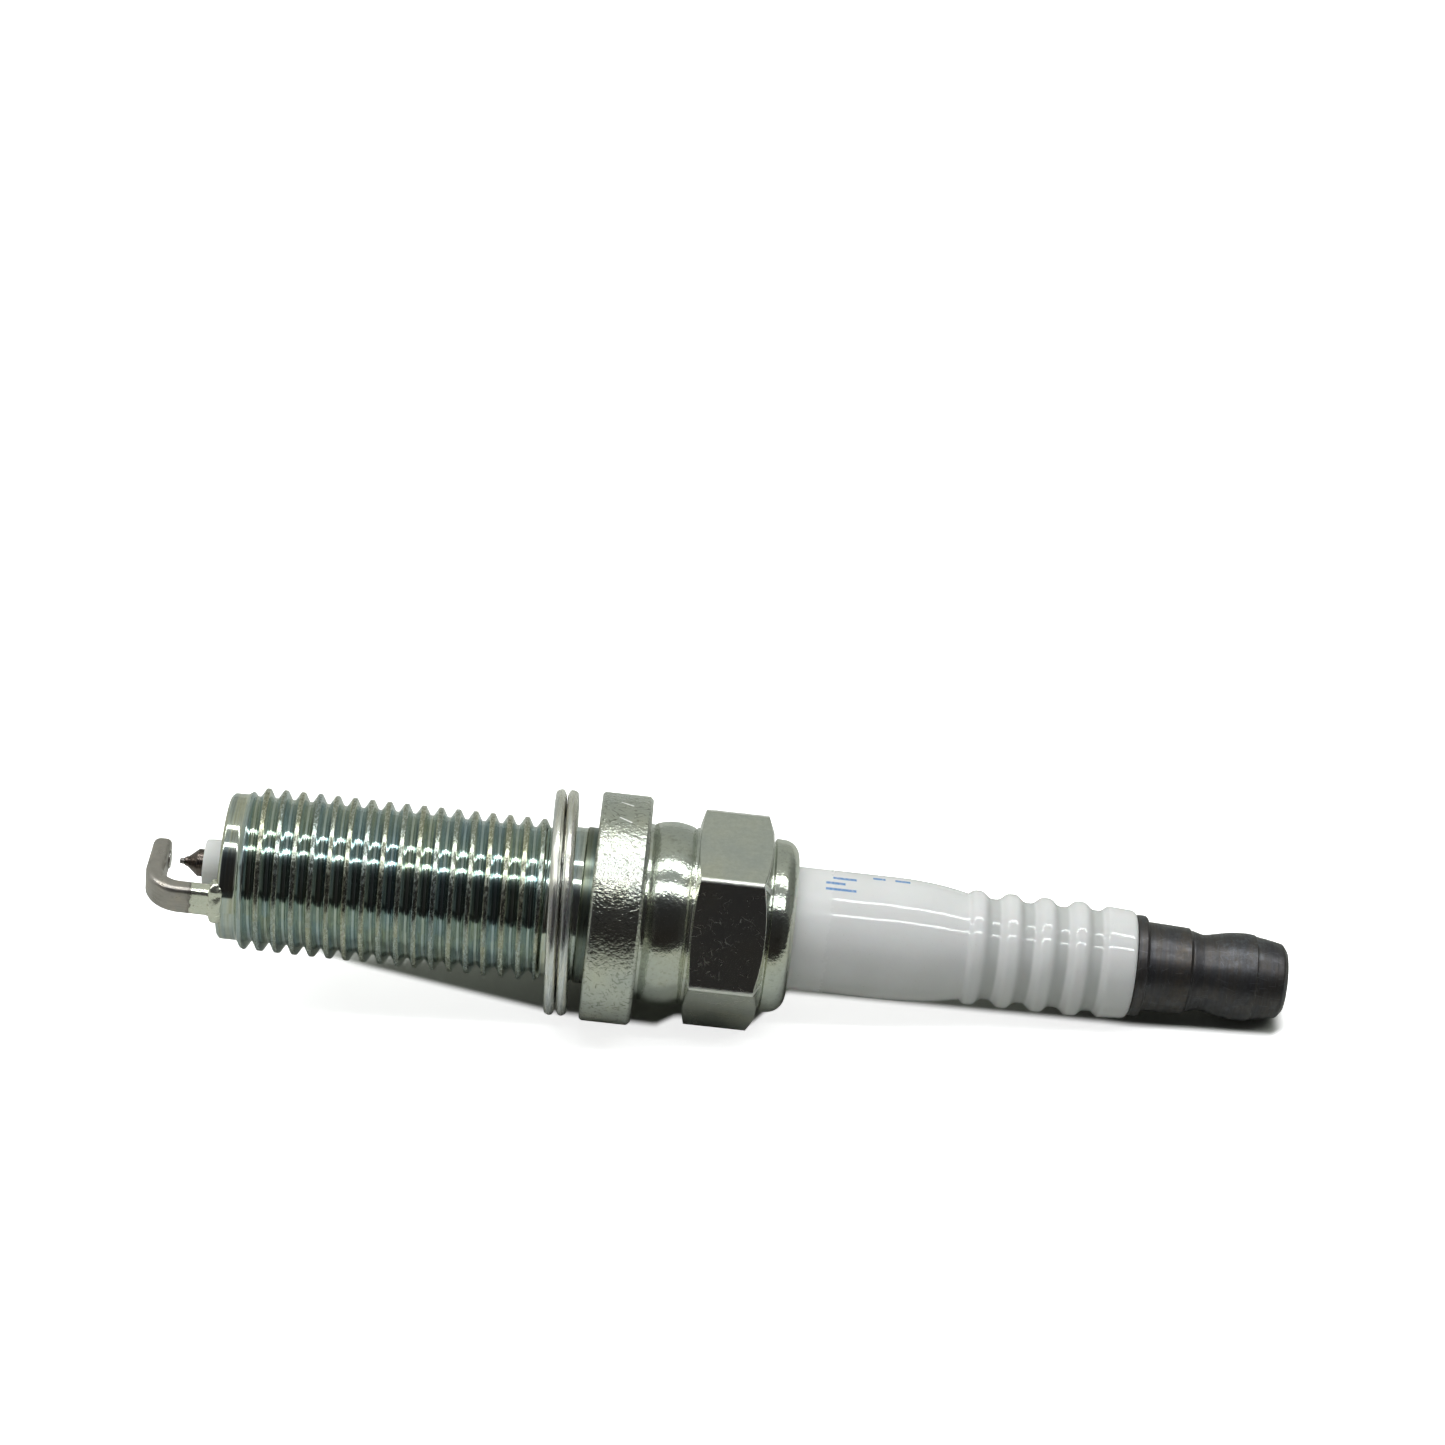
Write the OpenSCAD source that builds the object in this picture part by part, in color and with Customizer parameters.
// Motorcycle spark plug, M12 x 1.25 long reach, 14 mm hexagon, resistor type,
// fine-wire centre electrode.
// Axis along X: firing end towards -X, ignition terminal towards +X, +Z up.
// Origin: on the axis, in the plane of the shell's gasket seat. Units are mm.

/* [Part] */
// Piece to draw, or all

/* [Thread] */
// Major diameter of the thread crests
thread_major = 11.74; // [11.72:0.02:11.94]
// Thread pitch
thread_pitch = 1.25; // [1.25:0.25:1.25]
// Reach, from the gasket seat to the end face of the shell
reach = 26.5; // [26.5:1.25:29]

/* [Shell] */
// Diameter of the collar
collar_d = 16.6; // [16.2:0.1:17.2]
// Thickness of the collar
collar_t = 3.7; // [3.5:0.1:3.8]
// Width across the flats of the hexagon
hex_af = 13.8; // [13.7:0.1:14]
// Length of the hexagon
hex_len = 5.3; // [5.1:0.1:5.4]

/* [Firing end] */
// Spark gap between the fine wire and the pad
gap = 0.65; // [0.5:0.05:0.9]
// Diameter of the fine wire
wire_d = 0.45; // [0.4:0.05:0.6]
// Width of the ground electrode strap
strap_w = 2.2; // [2:0.1:2.5]
// Thickness of the ground electrode strap
strap_t = 1.3; // [1.2:0.05:1.4]

/* [Insulator] */
// Diameter of the insulator behind the crimp
insulator_d = 8.9; // [8.8:0.1:9.1]
// Depth of the grooves between the ribs
rib_depth = 0.5; // [0.35:0.05:0.55]
// Number of ribs
rib_count = 4; // [3:1:4]

/* [Terminal] */
// Largest diameter of the terminal head
head_d = 6.35; // [6.15:0.1:6.65]
// Smallest diameter of the terminal neck
neck_d = 5.5; // [5.3:0.1:5.8]

/* [Gasket] */
// Outer diameter of the loose folded seat gasket
gasket_od = 16.4; // [16:0.1:16.8]
// Thickness of the seat gasket
gasket_t = 1.7; // [1.6:0.1:1.9]

/* [Hidden] */
$fn = 96;

// Names ending in _x are places along the axis, in _r radii, in _pts profiles.
// All profiles are lists of [radius, x].

joint = 0.02; // clearance between neighbouring pieces
end_x = -reach; // end face of the shell
insulator_r = insulator_d / 2;
insulator_bore_r = 1.7;
insulator_end_x = 39.35;
nose_x = end_x - 1.5; // firing end of the insulator
wire_x = end_x - 3.3; // firing face of the fine wire
pad_x = wire_x - gap; // face of the pad
cavity_r = 5.35; // shell cavity around the insulator
fill_r = insulator_bore_r - joint; // seals and resistor

// Turns a profile about the X axis.
module turned() {
    rotate([0, 90, 0]) rotate_extrude() children();
}

// Points of an arc about a centre, between two angles.
function arc(centre, radius, from, to, steps) =
    [for (i = [0:steps])
        let (angle = from + (to - from) * i / steps)
        [centre[0] + radius * cos(angle), centre[1] + radius * sin(angle)]];

// ---- Metal shell ----

// The basic M12 profile, its crests cut back to the major diameter
nominal_r = 6;
flank = tan(30);
crest_r = thread_major / 2;
crest_w = thread_pitch / 8 + 2 * (nominal_r - crest_r) * flank;
root_r = nominal_r - 0.6134 * thread_pitch;
first_ridge_x = end_x + 1.7;
ridge_limit_x = -3.3; // no ridge is centred beyond this
ridges = floor((ridge_limit_x - first_ridge_x) / thread_pitch) + 1;

pilot_r = 5.28; // plain end ahead of the thread
shell_neck_r = 5.55; // between thread and seat
seat_r = 5.65;
collar_r = collar_d / 2;
front_bore_r = 3.9;
end_chamfer = 0.15; // at the mouth of the bore

// Bulged band between collar and hexagon, with a groove on either side
band_r = 6.45;
band_bulge = 0.25;
band_x0 = 4.12;
band_x1 = 6.9;
band_steps = 8;
groove_r = 6.35;

hex_x0 = 7.3;
hex_x1 = hex_x0 + hex_len;

// One thread ridge, from the root before it over the crest to the root after it.
function ridge(x, before_r, after_r) = [
    [before_r, x - crest_w / 2 - (crest_r - before_r) * flank],
    [crest_r, x - crest_w / 2],
    [crest_r, x + crest_w / 2],
    [after_r, x + crest_w / 2 + (crest_r - after_r) * flank]];

thread_pts = [for (i = [0:ridges - 1])
    each ridge(first_ridge_x + i * thread_pitch,
               i == 0 ? pilot_r : root_r,
               i == ridges - 1 ? shell_neck_r : root_r)];

// Outer contour from the end face up to the hexagon
shell_front_pts = concat(
    [[front_bore_r + end_chamfer, end_x], [pilot_r - 0.2, end_x], [pilot_r, end_x + 0.2]],
    thread_pts,
    [[shell_neck_r, -0.78], [seat_r, -0.7], [seat_r, 0],
     [collar_r - 0.2, 0], [collar_r, 0.2],
     [collar_r, collar_t - 0.3], [collar_r - 0.3, collar_t],
     [band_r, collar_t], [groove_r, collar_t + 0.1], [groove_r, 4.02], [band_r, band_x0]],
    [for (i = [1:band_steps - 1])
        [band_r + band_bulge * sin(i * 180 / band_steps),
         band_x0 + i * (band_x1 - band_x0) / band_steps]],
    [[band_r, band_x1], [groove_r, 7], [groove_r, hex_x0 + 0.02]]);

// Outer contour from the hexagon to the crimped lip
shell_back_pts = concat(
    [[6.08, hex_x1 - 0.02], [6.08, hex_x1 + 0.16], [6.28, hex_x1 + 0.26], [6.26, 13.3]],
    arc([5, 13.35], 1.25, 8, 90, 7));

// Inner contour, from the crimped lip back to the end face
shell_bore_pts = [
    [4.58, 14.6], [4.52, 14.5], [4.52, 14.2], [5.05, 13.75], [cavity_r, 13.45],
    [cavity_r, 2.9], [3.95, 1.5], [3.95, -11.3], [3.05, -12.2],
    [3.05, -13.2], [front_bore_r, -14.2], [front_bore_r, end_x + end_chamfer]];

// Hexagon, flats up and down, corners turned down at both ends.
module hexagon() {
    difference() {
        intersection() {
            rotate([0, 90, 0]) rotate([0, 0, 30])
                translate([0, 0, hex_x0])
                    cylinder(h = hex_len, r = hex_af / 2 / cos(30), $fn = 6);
            turned() polygon([
                [0, hex_x0 - 1], [6.8, hex_x0 - 1], [6.8, hex_x0],
                [7.84, hex_x0 + 0.25], [7.84, hex_x1 - 0.5],
                [6.7, hex_x1], [6.7, hex_x1 + 1], [0, hex_x1 + 1]]);
        }
        rotate([0, 90, 0]) translate([0, 0, hex_x0 - 1])
            cylinder(h = hex_len + 2, r = 5.85);
    }
}

module metal_shell() color([0.78, 0.79, 0.74]) {
    turned() polygon(concat(shell_front_pts, shell_back_pts, shell_bore_pts));
    hexagon();
}

// ---- Ground electrode: root leg at -Y, cross leg over the axis ----

pad_proud = 0.12;
leg_in_x = pad_x - pad_proud; // cross leg, face towards the wire
leg_out_x = leg_in_x - strap_t;
bend_in_r = 1.45;
bend_out_r = bend_in_r + strap_t;
bend_x = leg_out_x + bend_out_r;
root_y = -4.5 - strap_t / 2; // outer face of the root leg
bend_y = root_y + bend_out_r;
leg_end_y = 0.8; // end of the cross leg's full section
tip_y = 0.7; // centre of the rounding at the free end
tip_r = 0.6;
tip_inset = 0.5; // of the square part of the free end
strap_tilt = 5.3; // degrees, lifts the root leg about the axis
bead_t = 0.45;

// Side outline of the strap.
module strap_outline() {
    // root leg along X
    translate([bend_x, root_y]) square([end_x - bend_x, strap_t]);
    // bend
    translate([bend_x, bend_y])
        intersection() {
            difference() {
                circle(r = bend_out_r);
                circle(r = bend_in_r);
            }
            translate([-bend_out_r - 1, -bend_out_r - 1])
                square([bend_out_r + 1, bend_out_r + 1]);
        }
    // cross leg, its free end rounded on the outside
    translate([leg_out_x, bend_y]) square([strap_t, leg_end_y - bend_y]);
    translate([leg_out_x + tip_inset, tip_y]) square([strap_t - tip_inset, tip_r]);
    translate([leg_out_x + tip_r, tip_y]) circle(r = tip_r);
}

// Bead at the root, kept to the ring of the shell's end face.
module weld_bead() {
    intersection() {
        translate([end_x - bead_t, root_y - 0.1, -strap_w / 2 - 0.35])
            cube([bead_t, strap_t + 0.15, strap_w + 0.7]);
        rotate([0, 90, 0]) translate([0, 0, end_x - 1])
            difference() {
                cylinder(h = 2, r = 5.25);
                translate([0, 0, -1]) cylinder(h = 4, r = 3.82);
            }
    }
}

module ground_electrode() color([0.52, 0.5, 0.48]) rotate([-strap_tilt, 0, 0]) {
    linear_extrude(height = strap_w, center = true) strap_outline();
    weld_bead();
}

module ground_pad() color([0.86, 0.86, 0.85])
    turned() polygon([[0, leg_in_x + 0.005], [0.65, leg_in_x + 0.005],
                      [0.65, pad_x - 0.04], [0.61, pad_x], [0, pad_x]]);

// ---- Centre electrode ----

wire_r = wire_d / 2;
wire_len = 1.1;
wire_bevel = 0.04;
electrode_r = 1;
electrode_end_x = -7.6;
core_r = 0.5;

// Inner end of the electrode, behind its flange
electrode_head_pts = [[1.5, -8.5], [electrode_r, -8.3], [electrode_r, -7.9],
                      [0.7, electrode_end_x]];

module iridium_tip() color([0.7, 0.69, 0.68])
    turned() polygon([[0, wire_x], [wire_r - wire_bevel, wire_x],
                      [wire_r, wire_x + wire_bevel],
                      [wire_r, wire_x + wire_len], [0, wire_x + wire_len]]);

// Jacket, open at the inner end for the core and at the firing end for the wire.
module center_electrode() color([0.4, 0.37, 0.35])
    turned() polygon(concat(
        [[wire_r + 0.01, wire_x + 0.3], [0.32, wire_x + 0.38], [0.42, wire_x + 0.68],
         [electrode_r, wire_x + 1.35], [electrode_r, -9.6], [1.5, -9.13]],
        electrode_head_pts,
        [[core_r + joint, electrode_end_x], [core_r + joint, nose_x + 1.8],
         [0, nose_x + 1.5], [0, wire_x + wire_len + 0.01],
         [wire_r + 0.01, wire_x + wire_len + 0.01]]));

module electrode_core() color([0.79, 0.47, 0.31])
    turned() polygon([[0, nose_x + 1.53], [core_r, nose_x + 1.83],
                      [core_r, electrode_end_x - joint], [0, electrode_end_x - joint]]);

// ---- Insulator ----

// Ribs: one rounded crest per pitch, an equal trough between them
rib_pitch = 2.48;
rib_crest_x = 27.78; // first crest
rib_start_x = 27.2;
rib_r = insulator_r - 0.3;
rib_steps = 8; // per pitch

function rib_radius(x) =
    let (s = pow(sin(180 * (x - rib_crest_x) / rib_pitch), 2))
    rib_r - rib_depth * s * s * (3 - 2 * s);

insulator_pts = concat(
    // nose, seat and body
    [[1.08, nose_x + 0.08], [1.16, nose_x], [1.52, nose_x]],
    arc([1.5, nose_x + 0.25], 0.25, -80, 0, 4),
    [[2.7, -12.6], [2.75, -12.1], [3.85, -11], [3.85, 1.6], [5.2, 2.95], [5.2, 8.2],
     [insulator_r - 0.025, 8.9], [insulator_r - 0.025, 13.45],
     [insulator_r, 14.75], [insulator_r, 22.6],
     [4.34, 24.2], [4.17, 25.6], [4.02, 26.4], [3.91, 26.95]],
    [for (i = [0:rib_count * rib_steps])
        let (x = rib_start_x + i * rib_pitch / rib_steps)
        [rib_radius(x), x]],
    // terminal end, then back along the bore
    [[4.02, 37.45], [3.92, insulator_end_x - 0.6]],
    arc([3.38, insulator_end_x - 0.5], 0.5, 10, 90, 5),
    [[1.8, insulator_end_x], [insulator_bore_r, insulator_end_x - 0.1],
     [insulator_bore_r, -9], [1.08, -9.6]]);

module insulator() color([0.96, 0.96, 0.94]) turned() polygon(insulator_pts);

// ---- Packing between insulator and shell ----

module packing_washer() color([0.62, 0.6, 0.55])
    turned() polygon([[3.1, -12.14], [3.84, -11.4], [3.84, -11.02], [3.1, -11.76]]);

module wire_ring(x)
    turned() translate([(insulator_r + cavity_r) / 2, x])
        circle(r = (cavity_r - insulator_r) / 2 - 0.015);

module lower_wire_ring() color([0.66, 0.66, 0.64]) wire_ring(9.1);

module upper_wire_ring() color([0.66, 0.66, 0.64]) wire_ring(13.2);

module talc_filling() color([0.86, 0.85, 0.8])
    turned() polygon([[insulator_r + joint, 9.58], [cavity_r - joint, 9.58],
                      [cavity_r - joint, 12.72], [insulator_r + joint, 12.72]]);

// ---- Seals and resistor in the insulator bore ----

resistor_x0 = -4.48;
resistor_x1 = 5.5;

module lower_glass_seal() color([0.35, 0.33, 0.3])
    turned() polygon(concat(
        [[0, electrode_end_x + joint]],
        [for (i = [3:-1:0]) electrode_head_pts[i] + [joint, joint]],
        [[fill_r, -8.48], [fill_r, resistor_x0 - joint], [0, resistor_x0 - joint]]));

module resistor() color([0.16, 0.16, 0.17])
    turned() polygon([[0, resistor_x0], [fill_r, resistor_x0],
                      [fill_r, resistor_x1], [0, resistor_x1]]);

module upper_glass_seal() color([0.35, 0.33, 0.3])
    turned() polygon([[0, resistor_x1 + joint], [fill_r, resistor_x1 + joint],
                      [fill_r, 9.5], [1.34, 9.5], [1.34, 6.97], [0, 6.97]]);

// ---- Terminal stud ----

grip_r = 1.3; // grooved inner end of the stem
grip_root_r = 1.1;
stem_r = 1.5;
flange_x = insulator_end_x + joint;
neck_r = neck_d / 2;
head_r = head_d / 2;
flare_r = neck_r + 0.04; // where the neck starts to swell into the head
flare_x = 44.8;

// Stem with gripping grooves, flange on the insulator, barrel, neck and snap-on head.
module terminal_stud() color([0.42, 0.41, 0.4])
    turned() polygon(concat(
        [[0, 7], [grip_root_r, 7], [grip_r, 7.2]],
        [for (i = [0:3]) let (x = 7.45 + i * 0.5)
            each [[grip_r, x], [grip_root_r, x + 0.1],
                  [grip_root_r, x + 0.25], [grip_r, x + 0.35]]],
        [[grip_r, 9.52], [stem_r, 9.6], [stem_r, flange_x],
         [3.58, flange_x], [3.66, insulator_end_x + 0.1], [3.66, 40.05], [3.56, 40.17],
         [3.27, 40.27], [3.25, 40.5], [3.12, 43.05], [3.06, 43.3],
         [neck_r + 0.1, 43.95], [neck_r, 44.3], [flare_r, flare_x]],
        [for (i = [1:5])
            [flare_r + (head_r - flare_r) * sin(i * 18), flare_x + i * 0.5]],
        [[head_r - 0.03, 47.9], [head_r - 0.16, 48.6], [2.76, 49.8]],
        arc([2.2, 49.95], 0.55, 10, 90, 5),
        [[0, 50.5]]));

// ---- Seat gasket: folded sheet, hollow, its seam open to the outside ----

gasket_x0 = -3;
gasket_x1 = gasket_x0 + gasket_t;
gasket_in_r = 5.75;
gasket_out_r = gasket_od / 2;
sheet_t = 0.42;
seam_w = 0.12;
seam_x = gasket_x0 + gasket_t / 2 - seam_w / 2; // side of the seam towards -X

// Rounded section, drawn in by an inset on all sides.
module gasket_outline(inset, corner_r) {
    x0 = gasket_x0 + inset + corner_r;
    x1 = gasket_x1 - inset - corner_r;
    r0 = gasket_in_r + inset + corner_r;
    r1 = gasket_out_r - inset - corner_r;
    polygon(concat(
        arc([r0, x0], corner_r, 180, 270, 4), arc([r1, x0], corner_r, 270, 360, 4),
        arc([r1, x1], corner_r, 0, 90, 4), arc([r0, x1], corner_r, 90, 180, 4)));
}

// Outer part on one side of the seam, with a round edge.
module gasket_lobe(x0, x1) {
    edge_r = (x1 - x0) / 2;
    start_r = gasket_in_r + 1.2;
    polygon(concat(
        [[start_r, x0]],
        arc([gasket_out_r - edge_r, x0 + edge_r], edge_r, -90, 90, 8),
        [[start_r, x1]]));
}

module seat_gasket() color([0.7, 0.7, 0.68])
    turned() difference() {
        union() {
            intersection() {
                gasket_outline(0, 0.6);
                translate([gasket_in_r - 1, gasket_x0 - 1]) square([2.4, gasket_t + 2]);
            }
            gasket_lobe(gasket_x0, seam_x);
            gasket_lobe(seam_x + seam_w, gasket_x1);
        }
        gasket_outline(sheet_t, 0.25);
        translate([gasket_out_r - 1.4, seam_x]) square([2, seam_w]);
    }

metal_shell();
ground_electrode();
ground_pad();
center_electrode();
electrode_core();
iridium_tip();
insulator();
packing_washer();
lower_wire_ring();
talc_filling();
upper_wire_ring();
lower_glass_seal();
resistor();
upper_glass_seal();
terminal_stud();
seat_gasket();
